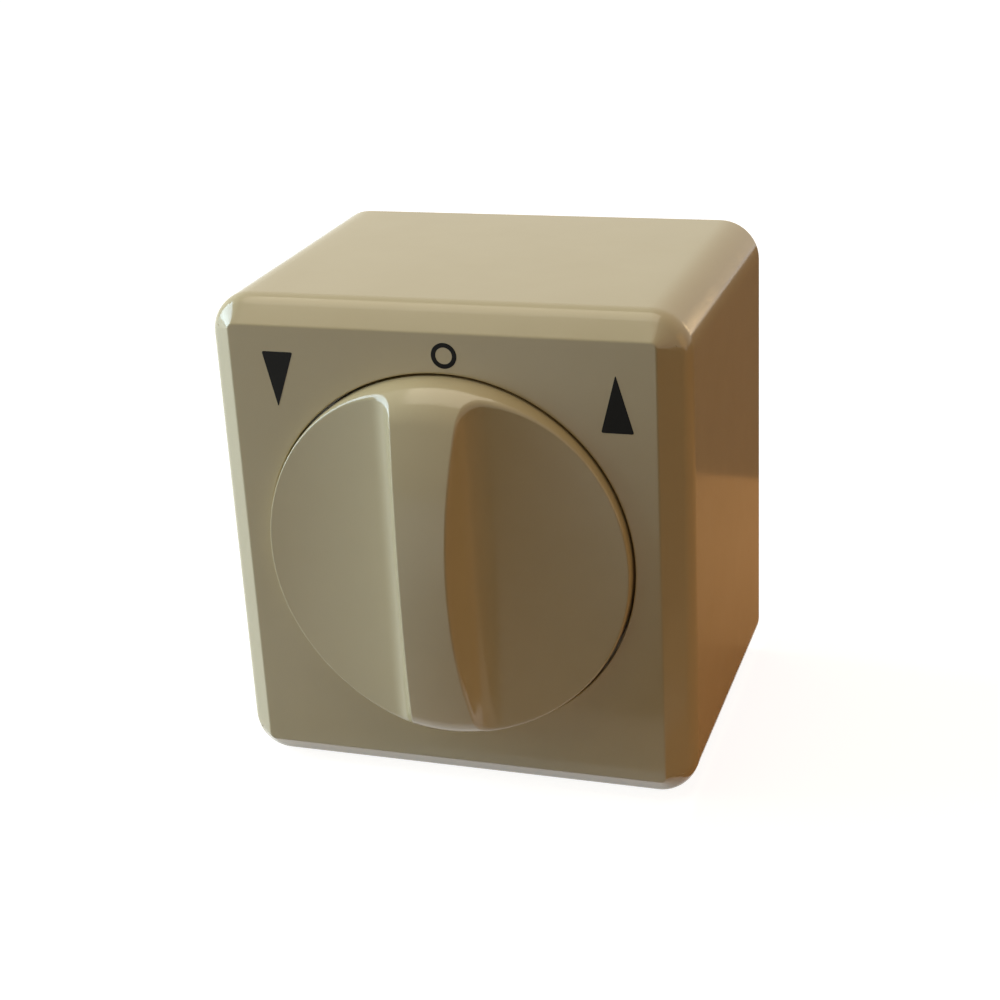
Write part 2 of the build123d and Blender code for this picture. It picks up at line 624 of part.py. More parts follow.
def blade(side):
    """Sprung brass blade beside the cam, fixed to a tab of the common strip."""
    root = SEAT_GAP - CAVITY_BOTTOM
    x_root, x_top = side * BLADE_ROOT_X, side * BLADE_X
    points = [(x_root, root), (x_root, -BLADE_KINK_LOW), (x_top, -BLADE_KINK_HIGH),
              (x_top, BLADE_TOP)]
    return ribbon(points, BLADE_BEND_R, BLADE_T, STRIP_FRONT, STRIP_FRONT + BLADE_W)


def fixed_contact(side):
    """Brass strip: foot in the outer terminal, leg folded up along the cavity's wall."""
    outer = side * CONTACT_X
    inner = outer - side * STRIP_T
    foot_x = side * (TERMINAL_PITCH - STRIP_W / 2)
    top = SHELF_H - CAVITY_BOTTOM - SEAT_GAP
    foot = brick((foot_x, side * (TERMINAL_PITCH + STRIP_W / 2))[::side],
                 (STRIP_REAR, STRIP_FRONT), (CAGE_BOTTOM, top))
    step = brick((foot_x, outer)[::side], (STRIP_REAR, STRIP_FRONT),
                 (SEAT_GAP - CAVITY_BOTTOM, top))
    leg = brick((inner, outer)[::side], (STRIP_REAR, STRIP_FRONT + BLADE_W),
                (SEAT_GAP - CAVITY_BOTTOM, BLADE_TOP))
    return foot + step + leg


def tip(x, side):
    """Domed contact tip on a face at x, pointing to the given side."""
    depth = STRIP_FRONT + BLADE_W / 2
    button = Pos(x + side * TIP_T / 2, -depth, TIP_Z) * Rot(0, 90, 0) * Cylinder(TIP_R, TIP_T)
    edge = button.edges().sort_by(Axis.X)[-1 if side > 0 else 0]
    return fillet(edge, TIP_T / 2)


def cage(x):
    """Brass terminal cage, open upwards and downwards, with a thick wall for the screw."""
    half, opening = CAGE_W / 2, CAGE_W / 2 - CAGE_WALL
    body = brick((x - half, x + half), (CAGE_REAR, CAGE_FRONT), (CAGE_BOTTOM, CAGE_TOP))
    body -= brick((x - opening, x + opening), (CAGE_REAR + CAGE_WALL, CAGE_WINDOW_FRONT),
                  (CAGE_BOTTOM - PAST, CAGE_TOP + PAST))
    return body - rod(M3_R + GRIP_GAP, CAGE_WINDOW_FRONT - PAST, CAGE_FRONT + PAST,
                      (x, CAGE_MIDDLE))


def save(node, *solids):
    """Writes one node, as a group where it holds several like pieces."""
    shape = solids[0] if len(solids) == 1 else Compound(children=list(solids))
    shape.label = node
    export_step(shape, os.path.join("parts", node + ".step"))


save("hood", make_hood())
save("knob", make_knob())
save("base_plate", make_base_plate())
save("support_frame", make_support_frame())
save("contact_block", make_contact_block())
save("block_cover", make_block_cover())
save("spindle", make_spindle())
save("rotor", make_rotor())
save("index_spring", make_index_spring())
save("retaining_ring", make_retaining_ring())
save("knob_clip", make_knob_clip())
save("common_strip", make_common_strip())
save("block_rivets", *[rivet(at) for at in RIVETS])
save("frame_screws", *[screw(at, FRAME_FRONT, FRAME_FRONT - FRAME_SCREW_L, TAPPING_R)
                       for at in POSTS])
save("hood_screws", *[screw(at, BOSS_SEAT, FRAME_REAR, M3_R) for at in HOOD_SCREWS])
save("terminal_screws", *[screw((x, CAGE_MIDDLE), CAGE_FRONT + SEAT_GAP,
                                CAGE_WINDOW_FRONT - TERMINAL_SCREW_IN, M3_R)
                          for x in TERMINALS_X])
for name, direction in (("left", -1), ("right", 1)):
    save(name + "_blade", blade(direction))
    save(name + "_contact", fixed_contact(direction))
save("blade_tips", *[tip(side * (BLADE_X + BLADE_T / 2), side) for side in (-1, 1)])
save("contact_tips", *[tip(side * (CONTACT_X - STRIP_T), -side) for side in (-1, 1)])
for name, x in zip(("left", "middle", "right"), TERMINALS_X):
    save(name + "_terminal", cage(x))
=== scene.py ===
import bmesh
import bpy
import numpy as np
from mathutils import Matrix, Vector


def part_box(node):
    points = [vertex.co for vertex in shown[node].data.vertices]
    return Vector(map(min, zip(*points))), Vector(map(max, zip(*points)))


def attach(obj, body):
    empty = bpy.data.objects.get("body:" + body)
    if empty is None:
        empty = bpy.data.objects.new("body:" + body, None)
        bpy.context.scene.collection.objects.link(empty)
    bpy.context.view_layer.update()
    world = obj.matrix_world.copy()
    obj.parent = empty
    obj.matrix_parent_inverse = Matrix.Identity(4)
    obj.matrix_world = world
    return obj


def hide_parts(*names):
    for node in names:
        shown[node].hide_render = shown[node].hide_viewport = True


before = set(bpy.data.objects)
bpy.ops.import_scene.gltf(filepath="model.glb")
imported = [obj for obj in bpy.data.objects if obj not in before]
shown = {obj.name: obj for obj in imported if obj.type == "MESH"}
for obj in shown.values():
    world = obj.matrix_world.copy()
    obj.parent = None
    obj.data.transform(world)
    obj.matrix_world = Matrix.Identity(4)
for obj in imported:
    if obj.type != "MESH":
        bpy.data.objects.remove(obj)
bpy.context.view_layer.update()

# Hood
# The moulded cube that stands on the wall: four side walls, a bevelled front and a dish that the
# knob turns in. It is injection moulded in one piece from glossy ivory urea, and two screws at
# the bottom of the dish hold it to the steel frame inside.

MM = 0.001                             # the values are in millimetres, depths forward from the wall
hood_low, hood_high = (np.array(corner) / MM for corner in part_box("hood"))
hood_half = (hood_high - hood_low)[[0, 2]] / 2
hood_front = -hood_low[1]
hood_corner_r = 6.0
hood_wall = 2.4
bevel_reach = np.array([4.0, 3.5])     # at the sides, and at the top and bottom
bevel_depth = 3.3
face_corner_r = 0.8
bevel_softness = 1.7                   # from the bevel's outer edge to where its rounding ends
face_softness = 0.22
rear_softness = 0.25
dish_r = 27.35
dish_depth = 4.0
dish_floor_t = 2.2
dish_wall = 2.0
dish_softness = 0.22
hub_hole_r = 6.2
well_places = ((-18.5, -11.0), (18.5, 11.0))
well_r, well_wall = 3.1, 1.4
boss_rear, boss_seat, screw_hole_r = 28.6, 32.6, 1.65
rib_t, rib_depth = 1.4, 5.0
rib_start, rib_end = 27.6, 46.4        # from the dish's wall into the corner's wall
knockout_w, knockout_depth, knockout_web = 16.0, 9.0, 0.8
past = 0.5                             # how far a form runs past a face that it joins or cuts
support = 0.12                         # a row this near a rounding keeps the flat beside it flat
rear_steps, bevel_steps, face_steps, dish_steps = 4, 16, 6, 5        # over each rounding
front_rear = hood_front - hood_wall
dish_floor = hood_front - dish_depth
dish_rear = dish_floor - dish_floor_t
diagonals = np.radians([45, 135, 225, 315])
crease_angle = np.radians(28)
same_place = 1e-7                      # points this near each other, in metres, are one point
round_steps = 64                       # round a screw well


def bend(before, corner, after, steps):
    """Rows of a quadratic curve that leaves one station, is pulled to the corner and meets the
    next."""
    s = np.linspace(0, 1, steps + 1)[:, None]
    return (1 - s) ** 2 * before + 2 * s * (1 - s) * corner + s ** 2 * after


def box_columns(side_steps, corner_steps):
    """Columns round a rounded rectangle: the share of each straight side, from -1 to 1 in X and
    Z, and the angle of the corner's arc. The steps along a side are even as seen from the middle."""
    side = np.tan(np.linspace(-1, 1, side_steps) * np.pi / 4)
    arc = np.linspace(0, np.pi / 2, corner_steps + 2)[1:-1]
    x = np.ones(side_steps + corner_steps)
    z = np.append(side, np.ones(corner_steps))
    angle = np.append(np.zeros(side_steps), arc)
    quarter = np.arange(4)[:, None] * np.pi / 2
    share_x = np.cos(quarter) * x - np.sin(quarter) * z
    share_z = np.sin(quarter) * x + np.cos(quarter) * z
    return share_x.ravel(), share_z.ravel(), (quarter + angle).ravel()


def boxes(stations, columns):
    """Rounded rectangles, one row each: the corner's middle moves with the half size less the
    radius, and the radius is added along the arc's angle. A station is half width, half height,
    corner radius and depth."""
    share_x, share_z, angle = columns
    half_w, half_h, radius, depth = (value[:, None] for value in np.array(stations).T)
    x = share_x * (half_w - radius) + radius * np.cos(angle)
    z = share_z * (half_h - radius) + radius * np.sin(angle)
    return np.stack([x, -depth + 0 * x, z], axis=-1)


def circles(stations, angle, middle=(0.0, 0.0)):
    """Circles about a middle seen from the front, one row each. A station is radius and depth."""
    radius, depth = (value[:, None] for value in np.array(stations).T)
    x = middle[0] + radius * np.cos(angle)
    z = middle[1] + radius * np.sin(angle)
    return np.stack([x, -depth + 0 * x, z], axis=-1)


def grid_faces(rows, columns, wrap_rows, wrap_columns):
    """Quads between neighbouring rows and columns of a grid, on round where it wraps."""
    row = np.arange(rows if wrap_rows else rows - 1)[:, None]
    column = np.arange(columns if wrap_columns else columns - 1)
    next_row, next_column = (row + 1) % rows, (column + 1) % columns
    corners = [(row, column), (row, next_column), (next_row, next_column), (next_row, column)]
    return np.stack([r * columns + c for r, c in corners], axis=-1).reshape(-1, 4)


def make_piece(name, points, faces, material):
    """A mesh object at the origin from points in millimetres, smooth but for its creases."""
    mesh = bpy.data.meshes.new(name)
    mesh.from_pydata(points.reshape(-1, 3) * MM, [], faces)
    mesh.shade_smooth()
    mesh.set_sharp_from_angle(angle=crease_angle)
    mesh.materials.append(material)
    piece = bpy.data.objects.new(name, mesh)
    bpy.context.scene.collection.objects.link(piece)
    return piece


def weld(piece):
    """Joins the patches of a piece where their borders meet, and turns all faces outwards."""
    form = bmesh.new()
    form.from_mesh(piece.data)
    bmesh.ops.remove_doubles(form, verts=form.verts, dist=same_place)
    bmesh.ops.recalc_face_normals(form, faces=form.faces)
    form.to_mesh(piece.data)
    form.free()
    piece.data.set_sharp_from_angle(angle=crease_angle)


def bar(along, across, depths, turn=0.0, lift=0.0):
    """Outlines of a straight bar at two depths: it runs between two distances along a direction
    turned from X, is this wide across it, and is lifted in Z."""
    length = np.array([along[0], along[1], along[1], along[0]])
    width = np.array([-1, -1, 1, 1]) * across / 2
    x = length * np.cos(turn) - width * np.sin(turn)
    z = length * np.sin(turn) + width * np.cos(turn) + lift
    return np.array([np.stack([x, 0 * x - depth, z], axis=-1) for depth in depths])


def rod(stations, middle):
    """Outlines of a turned form about a middle. A station is radius and depth."""
    return circles(stations, np.linspace(0, 2 * np.pi, round_steps, endpoint=False), middle)


def reshape(piece, outlines, operation):
    """Joins the solid that runs through a row of outlines to a piece, or cuts it out."""
    rows, count = outlines.shape[:2]
    sides = grid_faces(rows, count, wrap_rows=False, wrap_columns=True).tolist()
    caps = [list(range(count)), list(range((rows - 1) * count, rows * count))]
    form = make_piece("form", outlines, sides + caps, piece.data.materials[0])
    weld(form)
    change = piece.modifiers.new("reshape", "BOOLEAN")
    change.solver = "EXACT"
    change.operation = operation
    change.object = form
    changed = piece.evaluated_get(bpy.context.evaluated_depsgraph_get())
    mesh = bpy.data.meshes.new_from_object(changed)
    piece.modifiers.clear()
    piece.data = mesh
    piece.data.set_sharp_from_angle(angle=crease_angle)
    bpy.data.objects.remove(form)


def linear(hex_colour):
    """An sRGB hex colour as linear red, green, blue and alpha."""
    parts = np.array([int(hex_colour[i:i + 2], 16) for i in (1, 3, 5)]) / 255
    low, high = parts / 12.92, ((parts + 0.055) / 1.055) ** 2.4
    return (*np.where(parts <= 0.04045, low, high), 1.0)


def add(tree, kind, inputs, **settings):
    """Adds one node. Each input is a value, or the output of another node to link to it."""
    made = tree.nodes.new("ShaderNode" + kind)
    for name, value in settings.items():
        setattr(made, name, value)
    for name, value in inputs.items():
        if isinstance(value, bpy.types.NodeSocket):
            tree.links.new(value, made.inputs[name])
        else:
            made.inputs[name].default_value = value
    return made


def blank_material(name):
    """A new material, its node tree, and in that the place on the piece in metres."""
    material = bpy.data.materials.new(name)
    material.use_nodes = True
    tree = material.node_tree
    tree.nodes.clear()
    return material, tree, add(tree, "TexCoord", {}).outputs["Object"]


def noise(tree, place, size_mm, detail=2.0):
    """Cloudy noise with features this many millimetres across, mostly between 0.3 and 0.7."""
    made = add(tree, "TexNoise", {"Vector": place, "Scale": 1 / (size_mm * MM),
                                  "Detail": detail})
    return made.outputs["Fac"]


def blend(tree, share, first, second):
    """A colour between two sRGB hex colours."""
    made = add(tree, "MixRGB", {"Fac": share, "Color1": linear(first),
                                "Color2": linear(second)})
    return made.outputs["Color"]


def between(tree, value, low, high):
    """A value from low to high while a noise runs from 0.3 to 0.7."""
    made = add(tree, "MapRange", {"Value": value, "From Min": 0.3, "From Max": 0.7,
                                  "To Min": low, "To Max": high})
    return made.outputs["Result"]


def relief(tree, height, strength, depth_mm):
    """The surface's direction with this height as a bump on it."""
    made = add(tree, "Bump", {"Height": height, "Strength": strength,
                              "Distance": depth_mm * MM})
    return made.outputs["Normal"]


def surface(tree, inputs):
    """Makes one principled shader with these inputs the surface of the material."""
    shader = add(tree, "BsdfPrincipled", inputs)
    add(tree, "OutputMaterial", {"Surface": shader.outputs["BSDF"]})


def glossy_ivory_urea():
    """Urea moulding, polished by its mould: a hard gloss over a warm ivory, with the faint
    clouding of aged resin and the slight waviness that shows in its reflections."""
    material, tree, place = blank_material("glossy_ivory_urea")
    clouding = noise(tree, place, size_mm=16, detail=3.0)
    polish = noise(tree, place, size_mm=5)
    wave = noise(tree, place, size_mm=1.1)
    surface(tree, {"Base Color": blend(tree, clouding, "#C8B78E", "#D0C099"),
                   "Roughness": between(tree, polish, 0.11, 0.16), "IOR": 1.5,
                   "Normal": relief(tree, wave, strength=0.06, depth_mm=0.05)})
    return material


def hood_stations():
    """Rows of the hood from its rear rim forward to the flat face, as half width, half height,
    corner radius and depth."""
    outline = np.array([*hood_half, hood_corner_r])
    inwards = np.array([-1, -1, -1, 0])
    rear = np.append(outline, 0)
    shoulder = np.append(outline, hood_front - bevel_depth)
    face = np.array([*(hood_half - bevel_reach), face_corner_r, hood_front])
    slope = (face - shoulder) / np.hypot(bevel_reach[0], bevel_depth)
    back = np.array([0, 0, 0, -1])
    return np.vstack([
        bend(rear + rear_softness * inwards, rear, rear - rear_softness * back, rear_steps),
        rear - (rear_softness + support) * back,
        shoulder + (bevel_softness + support) * back,
        bend(shoulder + bevel_softness * back, shoulder, shoulder + bevel_softness * slope,
             bevel_steps),
        shoulder + (bevel_softness + support) * slope,
        face - (face_softness + support) * slope,
        bend(face - face_softness * slope, face, face + face_softness * inwards, face_steps),
        face + (face_softness + support) * inwards])


def dish_stations():
    """Rows from the flat face over the dish's edge and floor to the back of the front wall."""
    edge, deeper, wider = np.array([dish_r, hood_front]), np.array([0, -1]), np.array([1, 0])
    outer_r = dish_r + dish_wall
    return np.vstack([
        edge + (dish_softness + support) * wider,
        bend(edge + dish_softness * wider, edge, edge + dish_softness * deeper, dish_steps),
        edge + (dish_softness + support) * deeper,
        [(dish_r, dish_floor), (hub_hole_r, dish_floor), (hub_hole_r, dish_rear),
         (outer_r, dish_rear), (outer_r, front_rear)]])


def inside_stations():
    """Rows down the inside of the walls, back to the rear rim."""
    outline = np.array([*(hood_half - hood_wall), hood_corner_r - hood_wall])
    face = np.array([*(hood_half - hood_wall - bevel_reach), face_corner_r, front_rear])
    shoulder = np.append(outline, front_rear - bevel_depth)
    return np.vstack([face, shoulder, np.append(outline, 0)])


hood_columns = box_columns(side_steps=49, corner_steps=11)
hood_outside = boxes(hood_stations(), hood_columns)
round_angles = np.arctan2(hood_outside[-1, :, 2], hood_outside[-1, :, 0])
hood_points = np.concatenate([hood_outside, circles(dish_stations(), round_angles),
                              boxes(inside_stations(), hood_columns)])
ivory = glossy_ivory_urea()
hood = make_piece("hood_moulding", hood_points,
                  grid_faces(*hood_points.shape[:2], wrap_rows=True, wrap_columns=True), ivory)
for turn in diagonals:
    reshape(hood, bar((rib_start, rib_end), rib_t, (front_rear - rib_depth, front_rear + past),
                      turn), "UNION")
for place in well_places:
    reshape(hood, rod([(well_r + well_wall, boss_rear), (well_r + well_wall, dish_rear + past)],
                      place), "UNION")
    reshape(hood, rod([(screw_hole_r, boss_rear - past), (screw_hole_r, boss_seat),
                       (well_r, boss_seat), (well_r, dish_floor + past)], place), "DIFFERENCE")
knockout_t = hood_wall + past - knockout_web
reshape(hood, bar((-knockout_w / 2, knockout_w / 2), knockout_t, (-past, knockout_depth),
                  lift=knockout_web + knockout_t / 2 - hood_half[1]), "DIFFERENCE")
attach(hood, "housing")
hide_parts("hood")

# Printed marks
# Pad printed in black ink on the hood's front: a triangle pointing down for lowering, a ring for
# stop, and a triangle pointing up for raising. The ink stands a few hundredths proud.

ink_proud = 0.02
ink_sunk = 0.02
ink_corner = 0.35                      # how far the rounding of a corner reaches along its sides
down_mark = [(-26.0, 29.4), (-24.2, 21.2), (-21.3, 29.4)]
up_mark = [(25.3, 28.5), (23.1, 20.2), (27.7, 20.2)]
ring_middle = (1.2, 30.0)
ring_outer_r, ring_inner_r = 1.85, 1.2
ring_steps = 96


def black_print():
    """Pad-printing ink: nearly black, silkier than the moulding, a little thin in places."""
    material, tree, place = blank_material("black_print")
    thin = noise(tree, place, size_mm=0.5, detail=3.0)
    surface(tree, {"Base Color": blend(tree, thin, "#090908", "#11110F"),
                   "Roughness": 0.5, "IOR": 1.4, "Specular IOR Level": 0.2,
                   "Normal": relief(tree, thin, strength=0.15, depth_mm=0.01)})
    return material


def softened(corners, reach, steps=6):
    """A closed outline whose corners are quadratic curves that reach this far along each side."""
    corner = np.array(corners)
    before, after = np.roll(corner, 1, axis=0) - corner, np.roll(corner, -1, axis=0) - corner
    before, after = (way / np.linalg.norm(way, axis=1)[:, None] for way in (before, after))
    curve = bend((corner + reach * before).ravel(), corner.ravel(),
                 (corner + reach * after).ravel(), steps)
    return curve.reshape(steps + 1, -1, 2).transpose(1, 0, 2).reshape(-1, 2)


def layer(outline):
    """The outline at the top of the ink and again just below the face, as two rows."""
    tops = [(x, -(hood_front + ink_proud), z) for x, z in outline]
    return np.array([tops, [(x, -(hood_front - ink_sunk), z) for x, _, z in tops]])


ink = black_print()
for mark_name, corners in (("down_mark", down_mark), ("up_mark", up_mark)):
    outline = softened(corners, ink_corner)
    count = len(outline)
    sides = grid_faces(2, count, wrap_rows=False, wrap_columns=True)[:, ::-1]
    caps = [list(range(count)), list(range(2 * count - 1, count - 1, -1))]
    mark = make_piece(mark_name, layer(outline), sides.tolist() + caps, ink)
    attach(mark, "housing")

ring_section = [(ring_outer_r, hood_front - ink_sunk), (ring_outer_r, hood_front + ink_proud),
                (ring_inner_r, hood_front + ink_proud), (ring_inner_r, hood_front - ink_sunk)]
ring_points = circles(ring_section, np.linspace(0, 2 * np.pi, ring_steps, endpoint=False),
                      ring_middle)
stop_mark = make_piece("stop_mark", ring_points,
                       grid_faces(len(ring_section), ring_steps, wrap_rows=True,
                                  wrap_columns=True), ink)
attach(stop_mark, "housing")

# Knob
# The turn knob: a shallow dome with a scoop taken out of each side, which leaves a waisted grip
# between them. It is moulded hollow from the same ivory urea, and its slotted hub is pressed on
# the spindle.

knob_low, knob_high = (np.array(corner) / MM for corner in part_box("knob"))
knob_r = (knob_high - knob_low)[0] / 2
crest = -knob_low[1] - hood_front      # heights are above the hood's front
crest_r = 66.0
end_r = 7.0
grip_half = 3.65
flank_lean = np.radians(17)
hollow_r = 5.0
floor_r = 80.0
rim_height = 1.6
edge_blend = 1.1                       # height over which an edge of the scoops is rounded
knob_gap = 0.6                         # between the knob's rear edge and the floor of the dish
knob_rear = dish_floor + knob_gap
rear_edge = 0.3
knob_wall = 2.0
hub_r = 5.4
hub_rear = 43.0
groove_rear, groove_front, groove_r = 43.7, 46.1, 4.67
bore_r, bore_flat, bore_end = 3.03, 2.33, 60.3
hub_slot_w, hub_slot_depth = 1.2, 5.0
rib_setback = 0.6                      # of the knob's ribs from its rear edge
scoop_middle = 14.0                    # the rays that carry the surface start here
first_step = 0.06                      # rows are this close together beside a scoop's edge
growth_fit, least_growth = 1.65, 0.01  # these bring the first step of growing rows near that
inner_rows, outer_rows = 30, 40
rim_rays, middle_rays = 170, 150
fine_rays = 8001                       # rays over which a length is added up
halvings = 40
nearly_zero = 1e-9                     # so that rays away from the middle plane meet it far off
pocket_rows, pocket_end_gap = 40, 0.2


def dome_height(radius, inset=0.0):
    """The crest's long arc, then the tighter end arc, which stands upright at the rim. With an
    inset, the surface that far below it."""
    crest_axis, end_x = crest - crest_r, knob_r - end_r
    end_axis = crest_axis + np.sqrt((crest_r - end_r) ** 2 - end_x ** 2)
    meet = (crest_r - inset) * end_x / (crest_r - end_r)
    over = crest_axis + np.sqrt((crest_r - inset) ** 2 - np.minimum(radius, meet) ** 2)
    end = end_axis + np.sqrt(np.maximum((end_r - inset) ** 2 - (radius - end_x) ** 2, 0))
    return np.where(radius < meet, over, end)


def scoop_height(x):
    """A scoop's section: a straight leaning flank, then an arc that is tangent to the flank and
    to the long arc of the scoop's floor."""
    across = np.array([np.cos(flank_lean), np.sin(flank_lean)])
    down = np.array([np.sin(flank_lean), -np.cos(flank_lean)])
    floor_axis = np.array([knob_r, rim_height + floor_r])
    start = np.array([grip_half, crest]) + hollow_r * across - floor_axis
    half = start @ down
    run = np.sqrt(half ** 2 - start @ start + (floor_r - hollow_r) ** 2) - half
    axis = floor_axis + start + run * down
    flank_end = axis - hollow_r * across
    floor_start = floor_axis + (axis - floor_axis) * floor_r / (floor_r - hollow_r)
    flank = crest - (x - grip_half) / np.tan(flank_lean)
    hollow = axis[1] - np.sqrt(np.maximum(hollow_r ** 2 - (x - axis[0]) ** 2, 0))
    floor = floor_axis[1] - np.sqrt(floor_r ** 2 - (x - floor_axis[0]) ** 2)
    return np.where(x < flank_end[0], flank, np.where(x < floor_start[0], hollow, floor))


def knob_height(x, z):
    """The lower of dome and scoop, rounded where they cross by a quadratic smooth minimum."""
    dome, scoop = dome_height(np.hypot(x, z)), scoop_height(x)
    near = np.maximum(edge_blend - np.abs(dome - scoop), 0) / edge_blend
    return np.minimum(dome, scoop) - edge_blend * near ** 2 / 4


def ray_point(reach, angle):
    """The knob's surface at a reach from the scoop's middle along rays of the given angles."""
    x, z = scoop_middle + reach * np.cos(angle), reach * np.sin(angle)
    return np.stack([x, -(hood_front + knob_height(x, z)), z], axis=-1)


def ray_reach(angle):
    """How far a ray from the scoop's middle runs to the knob's rim or to the middle plane."""
    to_rim = -scoop_middle * np.cos(angle) + np.sqrt(
        knob_r ** 2 - (scoop_middle * np.sin(angle)) ** 2)
    to_middle = -scoop_middle / np.minimum(np.cos(angle), -nearly_zero)
    return np.minimum(to_rim, to_middle)


def edge_reach(angle):
    """How far a ray runs to the scoop's edge, where dome and scoop cross, by halving."""
    low, high = np.zeros_like(angle), ray_reach(angle)
    for _ in range(halvings):
        middle = (low + high) / 2
        x, z = scoop_middle + middle * np.cos(angle), middle * np.sin(angle)
        inside = dome_height(np.hypot(x, z)) > scoop_height(x)
        low, high = np.where(inside, middle, low), np.where(inside, high, middle)
    return low


def even_rays(count, first, last):
    """Angles whose rays cut the scoop's edge and the outer border into even lengths, added up."""
    angle = np.linspace(first, last, fine_rays)
    steps = [np.linalg.norm(np.diff(ray_point(reach(angle), angle), axis=0), axis=-1)
             for reach in (edge_reach, ray_reach)]
    length = np.append(0, np.cumsum(sum(steps)))
    return np.interp(np.linspace(0, length[-1], count), length, angle)


def growing(gap, steps, share):
    """A gap's distances at shares from 0 to 1: the first step is small and the rest grow by a
    constant ratio, so the distance is an exponential of the share."""
    growth = np.maximum(growth_fit * np.log(gap / (steps * first_step)), least_growth)
    return gap * np.expm1(growth * share) / np.expm1(growth)


def knob_half():
    """Right half of the knob's front: rays from the scoop's middle, with rows that crowd at the
    scoop's edge and, by a sine, at the upright rim."""
    corner = np.arctan2(knob_r, -scoop_middle)
    rim = even_rays(rim_rays, -corner, corner)
    middle = even_rays(middle_rays, corner, 2 * np.pi - corner)[1:-1]
    angle = np.append(rim, middle)
    edge, reach = edge_reach(angle), ray_reach(angle)
    inner = edge - growing(edge, inner_rows, np.linspace(1, 0, inner_rows + 1)[1:-1, None])
    upright = np.sin(np.linspace(0, np.pi / 2, outer_rows + 1))[:, None]
    outer = edge + growing(reach - edge, outer_rows, upright)
    return ray_point(np.vstack([inner, outer]), angle)


half_points = knob_half()
rows, columns = half_points.shape[:2]
pole = ray_point(0.0, 0.0)[None]
half_all = np.vstack([half_points.reshape(-1, 3), pole])
half_faces = grid_faces(rows, columns, wrap_rows=False, wrap_columns=True)
ray = np.arange(columns)
fan = np.stack([ray, np.roll(ray, -1), np.full(columns, rows * columns)], axis=-1)

rim_x, rim_y, rim_z = half_points[-1, :rim_rays].T
rim_right = np.arctan2(rim_z, rim_x)
rim_angles = np.append(rim_right, np.pi - rim_right[-2:0:-1])
ceiling = hood_front + rim_height - knob_wall
knob_back = circles([
    (knob_r, hood_front), (knob_r, knob_rear + rear_edge),
    (knob_r - rear_edge, knob_rear), (knob_r - knob_wall, knob_rear),
    (knob_r - knob_wall, ceiling), (hub_r, ceiling), (hub_r, groove_front),
    (groove_r, groove_front), (groove_r, groove_rear), (hub_r, groove_rear), (hub_r, hub_rear),
    (bore_r, hub_rear), (bore_r, bore_end)], rim_angles)
knob_back[0, :, 1] = np.append(rim_y, rim_y[-2:0:-1])          # meets the front at its rim
knob_back[-2:, :, 2] = np.minimum(knob_back[-2:, :, 2], bore_flat)
back_rows, back_columns = knob_back.shape[:2]
back_faces = grid_faces(back_rows, back_columns, wrap_rows=False, wrap_columns=True)
bore_cap = (back_rows - 1) * back_columns + np.arange(back_columns)

left_start, back_start = len(half_all), 2 * len(half_all)
patches = (half_faces, fan, half_faces + left_start, fan + left_start, back_faces + back_start)
knob_faces = [face for patch in patches for face in patch.tolist()]
knob_faces.append((bore_cap + back_start).tolist())
knob = make_piece("knob_moulding",
                  np.vstack([half_all, half_all * (-1, 1, 1), knob_back.reshape(-1, 3)]),
                  knob_faces, ivory)
weld(knob)


def pocket(side):
    """Outlines of the hollow in one half of the grip: a tapered section one wall inside the flanks
    and the crest, carried from the hub towards the rim."""
    z = np.linspace(hub_r, knob_r - knob_wall - pocket_end_gap, pocket_rows)
    top = dome_height(z, knob_wall)
    low = np.full_like(z, ceiling - hood_front - past)
    skin = knob_wall / np.cos(flank_lean)
    half_top, half_low = (grip_half + (crest - height) * np.tan(flank_lean) - skin
                          for height in (top, low))
    x = np.stack([-half_low, half_low, half_top, -half_top], axis=-1)
    height = np.stack([low, low, top, top], axis=-1)
    return np.stack([x, -(hood_front + height), side * z[:, None] + 0 * x], axis=-1)


for side in (-1, 1):
    reshape(knob, pocket(side), "DIFFERENCE")
for turn in diagonals:
    reshape(knob, bar((hub_r - past, knob_r - knob_wall + past), rib_t,
                      (knob_rear + rib_setback, ceiling + past), turn), "UNION")
for turn in np.radians([0, 90]):
    reshape(knob, bar((-hub_r - past, hub_r + past), hub_slot_w,
                      (hub_rear - past, hub_rear + hub_slot_depth), turn), "DIFFERENCE")
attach(knob, "turning")
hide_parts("knob")

# Base plate
# The moulded plate that is screwed to the wall, with four posts for the steel frame and a cable
# opening. It is pressed from the same urea in a plainer mould, so it is matt.


def matt_ivory_urea():
    """Urea from a spark-eroded mould: the hood's ivory, dulled by a fine even grain."""
    material, tree, place = blank_material("matt_ivory_urea")
    clouding = noise(tree, place, size_mm=12, detail=3.0)
    grain = noise(tree, place, size_mm=0.3)
    surface(tree, {"Base Color": blend(tree, clouding, "#BFB08C", "#CCBE9B"),
                   "Roughness": 0.5, "IOR": 1.5,
                   "Normal": relief(tree, grain, strength=0.3, depth_mm=0.03)})
    return material


def dress(names, material):
    """Gives CAD nodes a material in all of their slots."""
    for name in names:
        for slot in shown[name].material_slots:
            slot.material = material


dress(["base_plate"], matt_ivory_urea())

# Support frame
# A plate pressed from zinc-plated steel sheet that joins the mechanism, the base plate's posts
# and the hood's two screws.


def drawn_out(tree, place, factors):
    """The place for a texture that is drawn out along X, Y and Z by these factors."""
    made = add(tree, "Mapping", {"Vector": place, "Scale": [1 / factor for factor in factors]})
    return made.outputs["Vector"]


